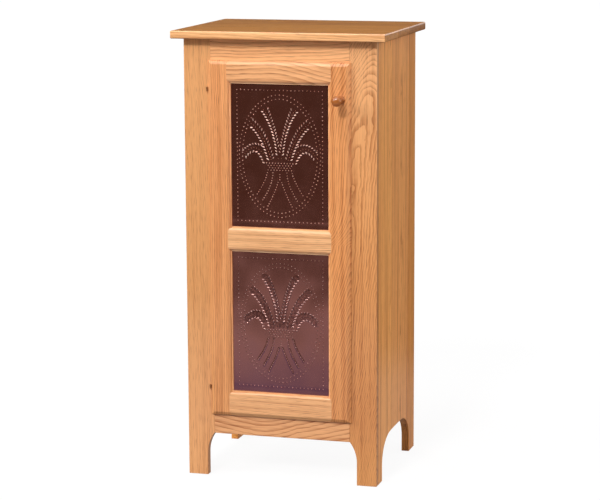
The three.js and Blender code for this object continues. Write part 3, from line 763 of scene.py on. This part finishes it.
def fromRows(tree, x, z, half, rows, steps=3):
    # how far a place is from the nearest of some rows, each taken as a few straight stretches; the
    # two halves of a tin are alike
    place = combined(tree, tree.maths("ABSOLUTE", x), 0.0, z)
    nearest = None
    for row in rows:
        path = through(row, half)
        points = [path(i / steps).to_3d().xzy for i in range(steps + 1)]
        for start, end in zip(points, points[1:]):
            way = end - start
            offset = vectors(tree, "SUBTRACT", place, start)
            along = vectors(tree, "DOT_PRODUCT", offset, way / way.length_squared, "Value")
            along = tree.maths("MINIMUM", tree.maths("MAXIMUM", along, 0.0), 1.0)
            foot = tree.add("ShaderNodeVectorMath", {"operation": "SCALE"}, {0: way, "Scale": along})
            gap = vectors(tree, "DISTANCE", offset, foot, "Value")
            nearest = gap if nearest is None else tree.maths("MINIMUM", nearest, gap)
    return nearest


def copper(name, box, own):
    look = copperLook | own
    material, tree = newFinish(name)
    low, high = box
    half = patternHalf(low, high, tinLook)
    place = axes(tree, ((low.x + high.x) / 2, low.y, (low.z + high.z) / 2))
    x, y, z = point = [place[axis] for axis in "xyz"]
    cloud, speck, dapples, waves, bends = (
        scattered(tree, point, look[kind]) for kind in ("clouds", "specks", "dapples", "waves", "bends"))
    fromStem = fromRows(tree, x, z, half, tinLook["stems"])
    ears = 1 - smooth(tree, fromStem, *look["earReach"])
    grains = 1 - smooth(tree, fromStem, *look["grainReach"])
    stalks = 1 - smooth(tree, fromRows(tree, x, z, half, tinLook["stalks"]), *look["stalkReach"])
    # painted shade over the ears, standing in for the dark sides of their crowded marks
    shade = ears * smooth(tree, dapples, *look["dappleEdge"]) * look["shade"]
    rise = y * (-1 / millimetre)
    tip = smooth(tree, rise, *look["tipRise"])
    shown = smooth(tree, z, *look["fade"])

    body = blendColours(tree, cloud - x * look["lean"], look["dark"], look["light"])
    body = blendColours(tree, shade, body, look["shaded"])
    # painted shade at each mark's foot and a painted highlight at its tip, dimmer away from the ears
    body = blendColours(tree, smooth(tree, rise, *look["footRise"]) * shown, body, look["foot"])
    body = blendColours(tree, tip * shown, body, blendColours(tree, grains, look["dim"], look["tip"]))

    relief = bump(tree, waves, look["waveHeight"])
    bent = smooth(tree, z + (high.z - low.z) / 2, look["bendStart"], look["bendEnd"])
    relief = bump(tree, bent * bends, look["bendHeight"], relief)
    relief = bump(tree, ears * look["swell"] + stalks, look["ridge"], relief)
    surface(tree, {
        "Base Color": body,
        "Metallic": 1.0,
        "Roughness": (look["roughness"] + tip * look["tipDull"] + swing(speck, look["speckDull"])
                      + swing(cloud, look["cloudDull"])),
        "Normal": relief,
    })
    return material


upperTin = makeTin("punched_tin_upper", tinLook)
upperLow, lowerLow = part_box("punched_tin_upper")[0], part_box("punched_tin_lower")[0]
lowerTin = copied(upperTin, Matrix.Translation(lowerLow - upperLow))
for piece, node, name in ((upperTin, "punched_tin_upper", "tinUpper"),
                          (lowerTin, "punched_tin_lower", "tinLower")):
    settle(piece, name)
    giveFinish(piece, copper(f"copper_{name}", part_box(node), copperLooks[name]))
    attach(piece, "door")
    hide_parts(node)
print("tins are punched:", len(upperTin.data.polygons), "faces each")


def drawnOut(name, rings, sides, base, turn=forwards):
    # a round piece: a disc drawn out ring by ring, each ring a radius and a place along the axis
    piece = added(bpy.ops.mesh.primitive_circle_add, name, vertices=sides, radius=rings[0][0],
                  fill_type="NGON", location=(0, 0, rings[0][1]))
    bpy.ops.object.mode_set(mode="EDIT")
    bpy.ops.mesh.select_all(action="SELECT")
    for (before, low), (radius, high) in zip(rings, rings[1:]):
        bpy.ops.mesh.extrude_region_move(TRANSFORM_OT_translate={"value": (0, 0, high - low)})
        bpy.ops.transform.resize(value=(radius / before, radius / before, 1), center_override=(0, 0, high))
    bpy.ops.mesh.select_all(action="SELECT")
    bpy.ops.mesh.normals_make_consistent(inside=False)
    bpy.ops.object.mode_set(mode="OBJECT")
    piece.matrix_world = Matrix.Translation(base) @ Euler(turn).to_matrix().to_4x4()
    settle(piece, name)
    return piece


# Knob: one turned piece with a foot, a waist and a round head. A ring is a share of the knob's
# radius and a share of its length
knobLook = {
    "sides": 64,
    "foot": ((0.76, 0.0), (0.8, 0.012), (0.806, 0.04), (0.78, 0.072), (0.7, 0.092), (0.6, 0.105)),
    "waist": ((0.545, 0.15), (0.515, 0.23), (0.52, 0.33), (0.57, 0.43), (0.66, 0.51), (0.76, 0.57)),
    "headMiddle": 0.794,
    "headHalf": 0.206,
    "headStart": -38,
    "headSweep": 127,
    "headSteps": 16,
    "smooth": 50,
}
turnedLook = {
    "light": (0.5, 0.155, 0.03, 1),
    "dark": (0.22, 0.055, 0.008, 1),
    "pith": 0.03,
    "spacing": 2.1 * millimetre,
    "sway": ((30, 12, 30), 2.0, 0.5),
    "swayReach": 4 * millimetre,
    "rings": ((0, 0.0), (0.1, 1.0), (0.5, 0.25), (1, 0.0)),
    "contrast": 0.55,
    "fibres": ((420, 26, 420), 3.0, 0.6),
    "fibreTone": 1.1,
    "darkness": 0.15,
    "lathe": 900,
    "relief": 0.25,
    "reliefDepth": 0.1 * millimetre,
    "fibreRelief": 0.5,
    "roughness": 0.5,
    "fibreDull": 0.14,
    "specular": 0.15,
    "coat": 0.8,
    "coatRoughness": 0.08,
}


def makeKnob(look):
    low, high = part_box("door_knob")
    radius = (high.x - low.x) / 2
    length = high.y - low.y
    head = []
    for i in range(look["headSteps"] + 1):
        angle = math.radians(look["headStart"] + look["headSweep"] * i / look["headSteps"])
        head.append((math.cos(angle), look["headMiddle"] + look["headHalf"] * math.sin(angle)))
    rings = [(r * radius, h * length) for r, h in look["foot"] + look["waist"] + tuple(head)]
    base = ((low.x + high.x) / 2, high.y, (low.z + high.z) / 2)
    knob = drawnOut("knobTurned", rings, look["sides"], base)
    smoothShade(knob, look["smooth"])
    return knob


def turnedWood(name, look, box):
    material, tree = newFinish(name)
    place = axes(tree, (box[0] + box[1]) / 2)
    point = [place[axis] for axis in "xyz"]
    sway, fibres = (scattered(tree, point, look[kind]) for kind in ("sway", "fibres"))
    lathe = noise(tree, combined(tree, place["y"] * look["lathe"], 0.0, 0.0), 1.0)
    side = place["x"] + look["pith"] + swing(sway, look["swayReach"])
    rings = lengthOf(tree, side, place["z"]) / look["spacing"]
    early = ramp(tree, tree.maths("FRACT", rings), look["rings"])
    tone = early * look["contrast"] + swing(fibres, look["fibreTone"]) + look["darkness"]
    surface(tree, {
        "Base Color": blendColours(tree, tone, look["light"], look["dark"]),
        "Roughness": look["roughness"] + swing(fibres, look["fibreDull"]),
        "Specular IOR Level": look["specular"],
        "Coat Weight": look["coat"],
        "Coat Roughness": look["coatRoughness"],
        "Normal": bump(tree, lathe + fibres * look["fibreRelief"], look["reliefDepth"],
                       strength=look["relief"]),
    })
    return material


knob = makeKnob(knobLook)
giveFinish(knob, turnedWood("knob_wood", turnedLook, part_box("door_knob")))
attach(knob, "door")
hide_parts("door_knob")
print("knob is turned")


# Metals and plastic: each has a cloud of tone, a fine grain, and its own gloss
hardwareLook = {
    "cloudNoise": (4.0, 0.6),
    "grainNoise": (2.0, 0.5),
    "toneEdge": (0.32, 0.72),
    "grainTone": 0.25,
    "cloudDull": 0.2,
    "grainDull": 0.12,
    "relief": 0.3,
    "reliefDepth": 0.05 * millimetre,
}
hardware = {
    "bronze": {"light": (0.52, 0.24, 0.09, 1), "dark": (0.26, 0.11, 0.04, 1), "metallic": 0.6,
               "roughness": 0.42, "cloud": 120, "grain": (900, 900, 900)},
    "zinc": {"light": (0.66, 0.64, 0.6, 1), "dark": (0.42, 0.4, 0.37, 1), "metallic": 1.0,
             "roughness": 0.34, "cloud": 90, "grain": (1500, 1500, 160)},
    "moulded": {"light": (0.17, 0.085, 0.045, 1), "dark": (0.11, 0.052, 0.026, 1), "metallic": 0.0,
                "roughness": 0.5, "cloud": 60, "grain": (2200, 2200, 2200)},
    "ferrite": {"light": (0.1, 0.1, 0.108, 1), "dark": (0.045, 0.045, 0.05, 1), "metallic": 0.3,
                "roughness": 0.55, "cloud": 200, "grain": (2600, 2600, 2600)},
}


def hardwareFinish(name, own):
    look = hardwareLook | own
    material, tree = newFinish(name)
    point = axes(tree, (0, 0, 0)).values()
    cloud = scattered(tree, point, (3 * [look["cloud"]], *look["cloudNoise"]))
    grain = scattered(tree, point, (look["grain"], *look["grainNoise"]))
    tone = smooth(tree, cloud + swing(grain, look["grainTone"]), *look["toneEdge"])
    surface(tree, {
        "Base Color": blendColours(tree, tone, look["light"], look["dark"]),
        "Metallic": look["metallic"],
        "Roughness": look["roughness"] + swing(cloud, look["cloudDull"]) + swing(grain, look["grainDull"]),
        "Normal": bump(tree, grain, look["reliefDepth"], strength=look["relief"]),
    })
    return material


metals = {name: hardwareFinish(name, own) for name, own in hardware.items()}
# The finish of each node, by how its name starts
metalParts = {"hinge_": "bronze", "shelf_pin": "zinc", "knob_screw": "zinc", "catch_strike": "zinc",
              "catch_body": "moulded", "catch_magnet": "ferrite"}
for name, node in nodes.items():
    for start, metal in metalParts.items():
        if name.startswith(start):
            giveFinish(node, metals[metal])


# Screws and nails: an oval head with a cross recess, and a flat head, each modelled once
screwLook = {
    "sides": 28,
    "shank": (1.45 * millimetre, 9 * millimetre),
    "head": (3.0 * millimetre, 0.7 * millimetre),
    "dome": ((1.0, 0.0), (1.0, 0.2), (0.93, 0.5), (0.78, 0.76), (0.5, 0.94), (0.2, 1.0)),
    "recess": (3.0 * millimetre, 0.62 * millimetre, 0.55 * millimetre),
    "smooth": 32,
}
nailLook = {
    "sides": 16,
    "shank": (0.9 * millimetre, 12 * millimetre),
    "head": (2.1 * millimetre, 0.4 * millimetre),
    "dome": ((1.0, 0.0), (1.0, 0.55), (0.88, 1.0)),
    "smooth": 32,
}
# Ways a head can face, from a master that faces upwards
facing = {
    "right": Matrix.Rotation(math.radians(90), 4, "Y"),
    "back": Matrix.Rotation(math.radians(-90), 4, "X"),
    "down": Matrix.Rotation(math.radians(180), 4, "X"),
}
# Where screws, nails and brads go: insets from an edge, and shares of an edge's length
screwPlaces = {
    "leafInset": 9 * millimetre,
    "frameLeafReach": 14 * millimetre,
    "doorLeafReach": 24 * millimetre,
    "strikeInset": 3 * millimetre,
    "catchInset": 3.9 * millimetre,
    "strikeSize": 0.8,
    "nailInset": 7 * millimetre,
    "nailShares": (0.03, 0.165, 0.3, 0.435, 0.57, 0.705, 0.84, 0.96),
    "endShares": (0.2, 0.4, 0.6, 0.8),
    "bradShares": (0.1, 0.37, 0.63, 0.9),
    "bradSize": 0.45,
}


def makeHeaded(name, look):
    radius, length = look["shank"]
    head, rise = look["head"]
    rings = [(radius, -length), (radius, 0.0)] + [(head * r, rise * h) for r, h in look["dome"]]
    made = drawnOut(name, rings, look["sides"], (0, 0, 0), (0, 0, 0))
    if "recess" in look:
        long, wide, deep = look["recess"]
        for size in ((long, wide), (wide, long)):
            slot = added(bpy.ops.mesh.primitive_cube_add, "slot", size=1, location=(0, 0, rise),
                         scale=(*size, 2 * deep))
            combine(made, slot, "DIFFERENCE")
    smoothShade(made, look["smooth"])
    return made


def placed(master, name, spots, body, slot, size=1.0):
    # copies of one master at each spot, joined as one piece that rides on a body
    chance = random.Random(name)
    made = []
    for place, way in spots:
        turn = Matrix.Rotation(chance.uniform(0, math.tau), 4, "Z")
        made.append(copied(master, Matrix.Translation(place) @ facing[way] @ turn @ Matrix.Scale(size, 4)))
    piece = joined(made, name)
    giveFinish(piece, metals["bronze" if slot == "hinge_bronze" else "zinc"])
    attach(piece, body)


def hingeSpots(leaf, look):
    spots = []
    for place in ("lower", "upper"):
        low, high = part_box(f"hinge_{leaf}_leaf_{place}")
        for z in (low.z + look["leafInset"], high.z - look["leafInset"]):
            if leaf == "frame":
                spots.append(((high.x, high.y - look["frameLeafReach"] / 2, z), "right"))
            else:
                spots.append(((high.x - look["doorLeafReach"] / 2, high.y, z), "back"))
    return spots


def nailSpots(look):
    # down both edges of the back, and along its ends between them
    low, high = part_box("back_panel")
    inset = look["nailInset"]
    spots = [(x, low.z + (high.z - low.z) * share)
             for share in look["nailShares"] for x in (low.x + inset, high.x - inset)]
    spots += [(low.x + (high.x - low.x) * share, z)
              for share in look["endShares"] for z in (low.z + inset, high.z - 2 * inset)]
    return [((x, high.y, z), "back") for x, z in spots]


def bradSpots(look):
    spots = []
    for place in ("lower", "upper"):
        for part in ("bottom", "top", "left", "right"):
            low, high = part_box(f"tin_retainer_{place}_{part}")
            middle = (low + high) / 2
            for share in look["bradShares"]:
                x, y, z = low.lerp(high, share)
                spot = (x, high.y, middle.z) if part in ("bottom", "top") else (middle.x, high.y, z)
                spots.append((spot, "back"))
    return spots


def pairSpots(node, inset, way):
    # two screws in line through one plate or body, from behind or from below
    low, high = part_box(node)
    middle = (low + high) / 2
    y, z = (high.y, middle.z) if way == "back" else (middle.y, low.z)
    return [((x, y, z), way) for x in (low.x + inset, high.x - inset)]


screw, nail = makeHeaded("screw", screwLook), makeHeaded("nail", nailLook)
placed(screw, "hingeScrewsCase", hingeSpots("frame", screwPlaces), "case", "hinge_bronze")
placed(screw, "hingeScrewsDoor", hingeSpots("door", screwPlaces), "door", "hinge_bronze")
placed(screw, "strikeScrews", pairSpots("catch_strike_plate", screwPlaces["strikeInset"], "back"),
       "door", "steel", screwPlaces["strikeSize"])
placed(screw, "catchScrews", pairSpots("catch_body", screwPlaces["catchInset"], "down"), "case", "steel")
placed(nail, "backNails", nailSpots(screwPlaces), "case", "steel")
placed(nail, "retainerBrads", bradSpots(screwPlaces), "door", "steel", screwPlaces["bradSize"])
removePiece(screw)
removePiece(nail)
print("screws and nails are in")


# Eased boards: the outer corners that a hand meets are rounded over a little. An edge is eased
# where it lies in one of the open planes of its board and in none of the glued ones. A plane is
# named for its axis and for the low or high side of the board, as y0
easing = {
    "width": 0.9 * millimetre,
    "topWidth": 1.7 * millimetre,
    "segments": 3,
    "merge": 0.01 * millimetre,
    "flat": 0.5,
    "sharp": 35,
    "near": 0.02 * millimetre,
    "smooth": 10,
}
openTop = ("z0", "z1", "x0", "x1")
easedBoards = {
    "top_board_front": (openTop, ("y1",)),
    "top_board_middle": (openTop, ("y0", "y1")),
    "top_board_rear": (openTop, ("y0",)),
    "face_stile_left": (("y0",), ("x1", "z1")),
    "face_stile_right": (("y0",), ("x0", "z1")),
    "face_rail_bottom": (("y0",), ("x0", "x1", "z1")),
}
gluedSides = {"front": ("y0", "y1", "z1"), "middle": ("y0", "y1", "z1"), "rear": ("y0", "z1")}
for side, outer in (("left", "x0"), ("right", "x1")):
    for part, glued in gluedSides.items():
        easedBoards[f"side_board_{side}_{part}"] = ((outer,), glued)


def easeBoard(node, planes, look):
    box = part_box(node)
    piece = copied(nodes[node], Matrix())
    only(piece)
    bpy.ops.object.mode_set(mode="EDIT")
    bpy.ops.mesh.select_all(action="SELECT")
    bpy.ops.mesh.remove_doubles(threshold=look["merge"])
    bpy.ops.mesh.dissolve_limited(angle_limit=math.radians(look["flat"]))
    bpy.ops.mesh.select_all(action="DESELECT")
    bpy.ops.mesh.select_mode(type="EDGE")
    bpy.ops.mesh.edges_select_sharp(sharpness=math.radians(look["sharp"]))
    bpy.ops.object.mode_set(mode="OBJECT")

    def lies(edge, plane):
        axis, end = "xyz".index(plane[0]), int(plane[1])
        ends = [piece.data.vertices[i].co[axis] for i in edge.vertices]
        return all(abs(place - box[end][axis]) < look["near"] for place in ends)

    opened, glued = planes
    for edge in piece.data.edges:
        edge.select = (edge.select and any(lies(edge, plane) for plane in opened)
                       and not any(lies(edge, plane) for plane in glued))
    width = look["topWidth" if node.startswith("top") else "width"]
    bevelSelected(width, look["segments"], clamped=True)
    settle(piece, f"{node}_eased")
    smoothShade(piece, look["smooth"])
    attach(piece, "case")
    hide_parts(node)
    return len(piece.data.polygons)


easedFaces = {node: easeBoard(node, planes, easing) for node, planes in easedBoards.items()}
print("boards are eased, with so many faces:", easedFaces)


# Stage: a pale floor. The camera sees it under a veil of white, with the shadow kept. Metal mirrors
# it as a pale sheet before the case that ends in a dark room, and as a dim floor behind, by shares of
# a reach from the middle; it turns from one to the other between two places along Y
stage = {
    "floorSize": 80,
    "floorHeight": -0.5 * millimetre,
    "floor": (0.28, 0.28, 0.28, 1),
    "seen": (1.15, 1.15, 1.15, 1),
    "white": (1, 1, 1, 1),
    "veil": 0.92,
    "mirrorReach": 10,
    "before": ((0.07, (0.22, 0.2, 0.42, 1)), (0.13, (0.34, 0.31, 0.45, 1)), (0.19, (0.9, 0.83, 0.8, 1)),
               (0.254, (0.1, 0.065, 0.055, 1)), (0.36, (0.12, 0.07, 0.045, 1))),
    "behind": ((0.1, (0.22, 0.185, 0.175, 1)), (0.15, (0.06, 0.045, 0.035, 1))),
    "turn": (-0.75, -0.35),
}
# The room: its level of plain light, and how bright it looks in a mirror from low to high
room = {"level": 0.09, "mirrored": ((0, 0.02), (0.3, 0.05), (0.58, 0.4), (0.8, 2.4), (1, 3.2))}


def makeFloor(settings):
    bpy.ops.object.select_all(action="DESELECT")
    bpy.ops.mesh.primitive_plane_add(size=settings["floorSize"], location=(0, 0, settings["floorHeight"]))
    floor = bpy.context.object
    floor.name = "floor"
    material, tree = newFinish("floor")
    camera = tree.add("ShaderNodeLightPath", output="Is Camera Ray")
    glossy = tree.add("ShaderNodeLightPath", output="Is Glossy Ray")
    point = tree.add("ShaderNodeTexCoord", output="Object")
    away = tree.add("ShaderNodeVectorMath", {"operation": "LENGTH"}, {0: point}, "Value")
    share = away / settings["mirrorReach"]
    back = smooth(tree, tree.add("ShaderNodeSeparateXYZ", None, {0: point}, "Y"), *settings["turn"])
    before, behind = ramp(tree, share, settings["before"]), ramp(tree, share, settings["behind"])
    plain = tree.add("ShaderNodeBsdfDiffuse", None, {"Color": settings["floor"]})
    mirrored = tree.add("ShaderNodeEmission", None, {"Color": blendColours(tree, back, before, behind)})
    lit = tree.add("ShaderNodeBsdfDiffuse", None, {"Color": settings["seen"]})
    white = tree.add("ShaderNodeEmission", None, {"Color": settings["white"]})
    seen = tree.add("ShaderNodeMixShader", None, {0: settings["veil"], 1: lit, 2: white})
    mixed = tree.add("ShaderNodeMixShader", None, {0: glossy, 1: plain, 2: mirrored})
    mixed = tree.add("ShaderNodeMixShader", None, {0: camera, 1: mixed, 2: seen})
    tree.add("ShaderNodeOutputMaterial", None, {"Surface": mixed})
    floor.data.materials.append(material)


def makeWorld(settings):
    world = bpy.data.worlds.new("studio")
    bpy.context.scene.world = world
    world.use_nodes = True
    world.node_tree.nodes.clear()
    tree = Wire(world.node_tree)
    camera = tree.add("ShaderNodeLightPath", output="Is Camera Ray")
    glossy = tree.add("ShaderNodeLightPath", output="Is Glossy Ray")
    clear = tree.add("ShaderNodeLightPath", output="Is Transmission Ray")
    direction = tree.add("ShaderNodeTexCoord", output="Generated")
    height = tree.add("ShaderNodeSeparateXYZ", None, {0: direction}, "Z")
    shown = tree.maths("MAXIMUM", camera, clear)
    around = glossy * (ramp(tree, height, settings["mirrored"]) - settings["level"]) + settings["level"]
    strength = shown * (1 - around) + around
    background = tree.add("ShaderNodeBackground", None, {"Color": (1, 1, 1, 1), "Strength": strength})
    tree.add("ShaderNodeOutputWorld", None, {"Surface": background})


# Lamps: two from the front and the left, one overhead, a low fill from the right, two behind
lamps = {
    "front": {"towards": (-0.12, -1.0, 0.76), "strength": 1.7, "angle": 11},
    "left": {"towards": (-1.4, -1.0, 0.9), "strength": 1.55, "angle": 28},
    "above": {"towards": (-0.1, -0.53, 1.0), "strength": 0.5, "angle": 16},
    "right": {"towards": (1.0, -0.3, 0.12), "strength": 1.45, "angle": 50},
    "rearRight": {"towards": (0.8, 0.9, 0.3), "strength": 1.72, "angle": 76},
    "rearLeft": {"towards": (-1.0, 0.9, 0.35), "strength": 1.1, "angle": 40},
}


def makeLamps(settings):
    for name, lamp in settings.items():
        data = bpy.data.lights.new(name, "SUN")
        data.energy = lamp["strength"]
        data.angle = math.radians(lamp["angle"])
        piece = bpy.data.objects.new(name, data)
        piece.rotation_euler = Vector(lamp["towards"]).to_track_quat("Z", "Y").to_euler()
        bpy.context.scene.collection.objects.link(piece)


makeFloor(stage)
makeWorld(room)
makeLamps(lamps)
bpy.context.scene.view_settings.view_transform = "Standard"
print("stage is lit")

bpy.context.view_layer.update()
